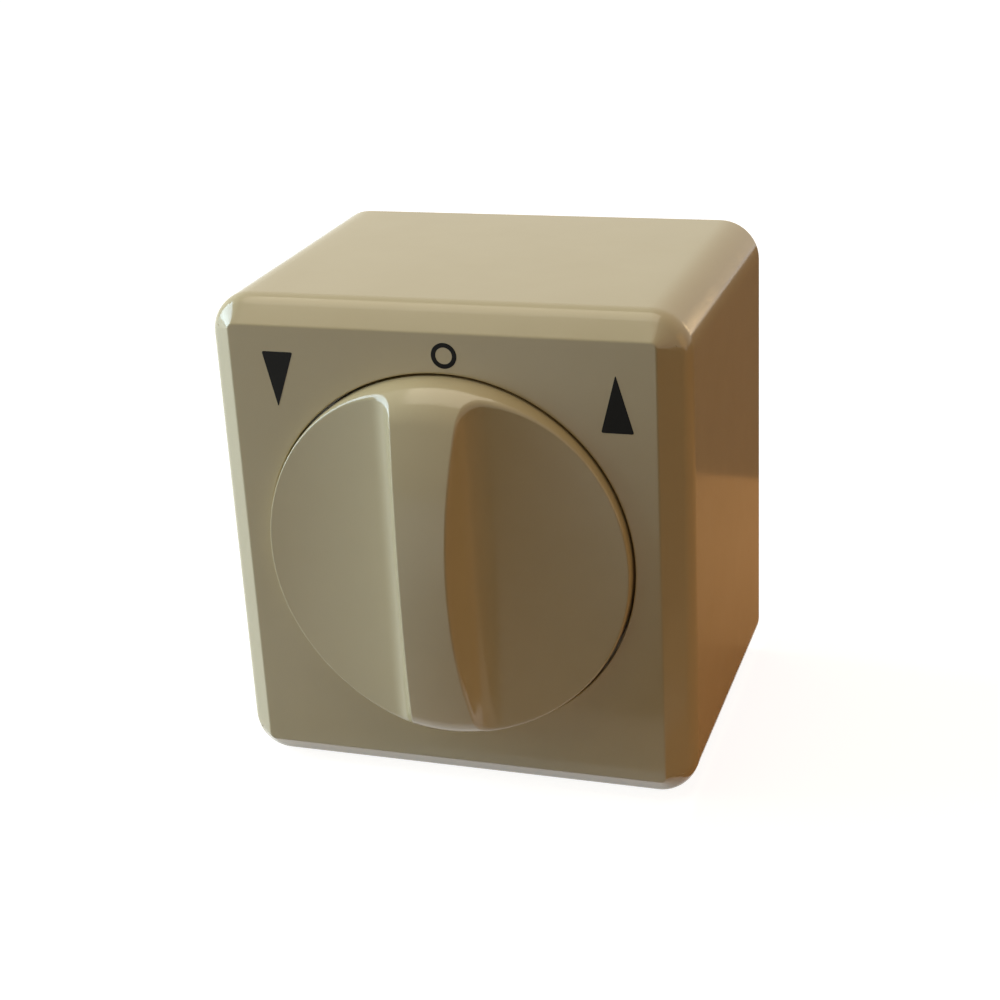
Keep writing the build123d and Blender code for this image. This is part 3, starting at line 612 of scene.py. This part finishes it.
def worked_metal(name, dark, light, roughness, grain_mm, drawn, relief_mm):
    """Metal whose making shows as streaks: noise of a grain's width, drawn out along X, Y and Z
    by the given factors, moves colour, roughness and relief together."""
    material, tree, place = blank_material(name)
    grain = noise(tree, drawn_out(tree, place, drawn), size_mm=grain_mm, detail=4.0)
    surface(tree, {"Base Color": blend(tree, grain, dark, light), "Metallic": 1.0,
                   "Roughness": between(tree, grain, *roughness),
                   "Normal": relief(tree, grain, strength=0.4, depth_mm=relief_mm)})
    return material


# Electroplated zinc on rolled sheet: pale blue-grey, satin, with faint rolling lines along X.
zinc_sheet = worked_metal("zinc_plated_sheet", "#A7AAAB", "#C2C5C4", roughness=(0.32, 0.44),
                          grain_mm=0.4, drawn=(12, 1, 1), relief_mm=0.01)
dress(["support_frame"], zinc_sheet)

# Screws
# Cold-headed steel screws with a cross recess, bright zinc plated: four hold the frame to the
# posts, two the hood to the frame, and three clamp the wires.

# Bright zinc over a tumbled head: paler and glossier than the sheet, with an even fine grain.
zinc_screws = worked_metal("bright_zinc_plating", "#B4B6B5", "#D0D1CE", roughness=(0.24, 0.34),
                           grain_mm=0.25, drawn=(1, 1, 1), relief_mm=0.01)
dress(["frame_screws", "hood_screws", "terminal_screws"], zinc_screws)

# Contact block and its cover
# The two halves of the mechanism's body, moulded from dark thermoset that stands the heat of the
# contacts. Four rivets close them on the frame.


def dark_phenolic():
    """Phenolic moulding: brown-black with a fine paler mottle of its filler, half matt."""
    material, tree, place = blank_material("dark_phenolic")
    filler = noise(tree, place, size_mm=0.7, detail=5.0)
    flow = noise(tree, place, size_mm=6)
    surface(tree, {"Base Color": blend(tree, filler, "#1E1916", "#3A322B"),
                   "Roughness": between(tree, flow, 0.34, 0.48), "IOR": 1.55,
                   "Normal": relief(tree, filler, strength=0.2, depth_mm=0.02)})
    return material


dress(["contact_block", "block_cover"], dark_phenolic())

# Nickel-plated steel rivets: warm grey, smooth, with the soft dents of the riveting tool.
rivet_nickel = worked_metal("nickel_plated_rivet", "#ACA89E", "#C8C3B6", roughness=(0.2, 0.3),
                            grain_mm=0.9, drawn=(1, 1, 1), relief_mm=0.04)
dress(["block_rivets"], rivet_nickel)

# Spindle and rotor
# The steel spindle is turned from bar and runs from the knob's hub through the cover's collar to
# the back of the block. The moulded rotor sits on it, with its notched wheel and its cam.

# Turned steel: grey with fine rings, a quarter of a millimetre apart, drawn out across the axis.
turned_steel = worked_metal("turned_steel", "#8E8F8F", "#B3B3B1", roughness=(0.2, 0.34),
                            grain_mm=0.25, drawn=(30, 1, 30), relief_mm=0.02)
dress(["spindle"], turned_steel)


def waxy_acetal():
    """Acetal moulding: an off-white that lets light in a little, with a waxy half gloss."""
    material, tree, place = blank_material("waxy_acetal")
    flow = noise(tree, place, size_mm=7)
    skin = noise(tree, place, size_mm=0.8)
    surface(tree, {"Base Color": blend(tree, flow, "#DCD8CB", "#EAE6DA"),
                   "Roughness": 0.36, "IOR": 1.48,
                   "Subsurface Weight": 0.15, "Subsurface Scale": 1.0 * MM,
                   "Normal": relief(tree, skin, strength=0.15, depth_mm=0.02)})
    return material


dress(["rotor"], waxy_acetal())

# Springs and spring rings
# The leaf spring that drops into the rotor's notches, the ring that holds the spindle and the
# band round the knob's hub, all from rolled spring steel.

# Blued spring strip: dark cool grey, smooth, with faint rolling lines along X.
spring_strip = worked_metal("rolled_spring_steel", "#6E7378", "#8F9397", roughness=(0.24, 0.36),
                            grain_mm=0.3, drawn=(10, 1, 1), relief_mm=0.008)
dress(["index_spring", "retaining_ring", "knob_clip"], spring_strip)

# Strips, blades and terminals
# Stamped and folded brass: the common strip with its two sprung blades, the two fixed contacts
# and the three cages that clamp the wires.

# Rolled brass: warm yellow, satin, a little browned, with rolling lines along Z.
brass_strip = worked_metal("rolled_brass", "#B8903F", "#DDBB6C", roughness=(0.24, 0.38),
                           grain_mm=0.35, drawn=(1, 1, 10), relief_mm=0.01)
dress(["common_strip", "left_blade", "right_blade", "left_contact", "right_contact",
       "left_terminal", "middle_terminal", "right_terminal"], brass_strip)

# Contact tips
# Domed silver tips, riveted to the blades and to the fixed contacts.

# Silver, slightly tarnished: nearly white, with soft yellowish clouds.
silver = worked_metal("tarnished_silver", "#CFC8B8", "#EFEDE8", roughness=(0.16, 0.3),
                      grain_mm=0.8, drawn=(1, 1, 1), relief_mm=0.01)
dress(["blade_tips", "contact_tips"], silver)

# Studio
# A plain pale floor under soft light: a large lamp above, a cool window at the left, a weak warm
# lamp at the right and a thin one behind. Brown boards lie in front and on the right, out of the
# camera's sight, and the glossy sides show them.

lens_pixels, frame_pixels, sensor_mm = 1922.5, 1000, 36.0
camera_place = (87.94, -287.0, 110.2)
camera_turn = (67.84, 2.896, 17.567)   # tilt up from straight down, roll and turn, in degrees

lens = bpy.data.cameras.new("camera")
lens.sensor_width = sensor_mm
lens.lens = lens_pixels / frame_pixels * sensor_mm
camera = bpy.data.objects.new("camera", lens)
camera.location = Vector(camera_place) * MM
camera.rotation_euler = np.radians(camera_turn)
bpy.context.scene.collection.objects.link(camera)
bpy.context.scene.camera = camera

floor_half = 2500.0
floor_z = hood_low[2]
floor_glow = 0.9
sky_fill = 0.12                        # the sky's strength where the camera doesn't see it


def seen_directly(tree):
    """1 for a ray from the camera, off a glossy surface or through glass, and 0 for others."""
    path = add(tree, "LightPath", {})
    glossy = add(tree, "Math", {0: path.outputs["Is Camera Ray"],
                                1: path.outputs["Is Glossy Ray"]}, operation="MAXIMUM")
    through = add(tree, "Math", {0: glossy.outputs[0],
                                 1: path.outputs["Is Transmission Ray"]}, operation="MAXIMUM")
    return through.outputs[0]


def pale_floor():
    """Matt off-white paint. The camera and the glossy sides also see a glow on it, so that the
    ground reads as white."""
    material, tree, place = blank_material("pale_floor")
    grain = noise(tree, place, size_mm=40)
    glow = add(tree, "Math", {0: seen_directly(tree), 1: floor_glow}, operation="MULTIPLY")
    surface(tree, {"Base Color": blend(tree, grain, "#ABA59B", "#B2ACA2"), "Roughness": 0.9,
                   "Emission Color": linear("#FFFFFF"), "Emission Strength": glow.outputs[0]})
    return material


def flat_sheet(name, low, high, height, material):
    """A level rectangle between two corners seen from above, facing up."""
    return make_piece(name, np.array([(low[0], low[1], height), (high[0], low[1], height),
                                      (high[0], high[1], height), (low[0], high[1], height)]),
                      [(0, 1, 2, 3)], material)


floor = flat_sheet("floor", (-floor_half, -floor_half), (floor_half, floor_half), floor_z,
                   pale_floor())

board_lift = 0.4                       # the boards lie this far above the floor or each other
near_board = ((35.1, -60), (420, 75))
far_board = ((35.1, 75), (900, 900))
front_board = ((-70, -900), (900, -60))
corner_board = ((-5, -900), (900, -75))


def stained_board(name, dark, light, begins, full):
    """Stained plywood with a long soft grain, matt, which only gives its colour to the light. It
    fades in between two places in X, so that no glossy side shows a hard border."""
    material, tree, place = blank_material(name)
    grain = noise(tree, drawn_out(tree, place, (1, 10, 1)), size_mm=12, detail=3.0)
    wood = add(tree, "BsdfPrincipled", {"Base Color": blend(tree, grain, dark, light),
                                        "Roughness": 0.7})
    across = add(tree, "SeparateXYZ", {"Vector": place}).outputs["X"]
    share = add(tree, "MapRange", {"Value": across, "From Min": begins * MM,
                                   "From Max": full * MM})
    clear = add(tree, "BsdfTransparent", {})
    faded = add(tree, "MixShader", {0: share.outputs["Result"], 1: clear.outputs["BSDF"],
                                    2: wood.outputs["BSDF"]})
    add(tree, "OutputMaterial", {"Surface": faded.outputs["Shader"]})
    return material


light_stain = stained_board("light_stained_board", "#C18853", "#CE9661", begins=34, full=35)
dark_stain = stained_board("dark_stained_board", "#4A3018", "#573A1F", begins=34, full=35)
pale_stain = stained_board("pale_stained_board", "#AD8D66", "#BA9A73", begins=-40, full=70)
corner_stain = stained_board("corner_stained_board", "#4A3018", "#573A1F", begins=4, full=30)
for name, corners, layers, stain in (("near_board", near_board, 1, light_stain),
                                     ("far_board", far_board, 1, dark_stain),
                                     ("front_board", front_board, 1, pale_stain),
                                     ("corner_board", corner_board, 2, corner_stain)):
    board = flat_sheet(name, *corners, floor_z + layers * board_lift, stain)
    board.visible_camera = False
    board.visible_shadow = False


def soft_lamp(name, colour, watts, size, place, aim):
    """Rectangular soft lamp of a size and at a place in millimetres, turned towards a point."""
    light = bpy.data.lights.new(name, "AREA")
    light.shape = "RECTANGLE"
    light.size, light.size_y = (side * MM for side in size)
    light.energy = watts
    light.color = linear(colour)[:3]
    lamp = bpy.data.objects.new(name, light)
    ahead = np.array(aim, float) - np.array(place, float)
    lamp.rotation_mode = "QUATERNION"
    lamp.rotation_quaternion = Vector(ahead).to_track_quat("-Z", "Y")
    lamp.location = Vector(place) * MM
    lamp.visible_camera = False
    bpy.context.scene.collection.objects.link(lamp)


switch_middle = (0, -20, 0)
soft_lamp("overhead", "#FFF3DE", watts=3.5, size=(700, 700), place=(-120, -20, 900),
          aim=switch_middle)
soft_lamp("window", "#CFEBFF", watts=5.6, size=(450, 600), place=(-700, -95, 240),
          aim=switch_middle)
soft_lamp("evening", "#FFBC5C", watts=0.9, size=(500, 500), place=(900, -60, 180),
          aim=switch_middle)
soft_lamp("back_strip", "#FFD9A0", watts=0.24, size=(22, 260), place=(400, 800, 130),
          aim=(20, 0, 20))

world = bpy.data.worlds.new("studio")
bpy.context.scene.world = world
world.use_nodes = True
world.node_tree.nodes.clear()
sky = world.node_tree
strength = add(sky, "MapRange", {"Value": seen_directly(sky), "To Min": sky_fill,
                                 "To Max": 1.0})
by_camera = add(sky, "LightPath", {}).outputs["Is Camera Ray"]
light = add(sky, "Background", {"Color": blend(sky, by_camera, "#FFF8E8", "#FFFFFF"),
                                "Strength": strength.outputs["Result"]})
add(sky, "OutputWorld", {"Surface": light.outputs["Background"]})

bpy.context.scene.view_settings.view_transform = "Standard"
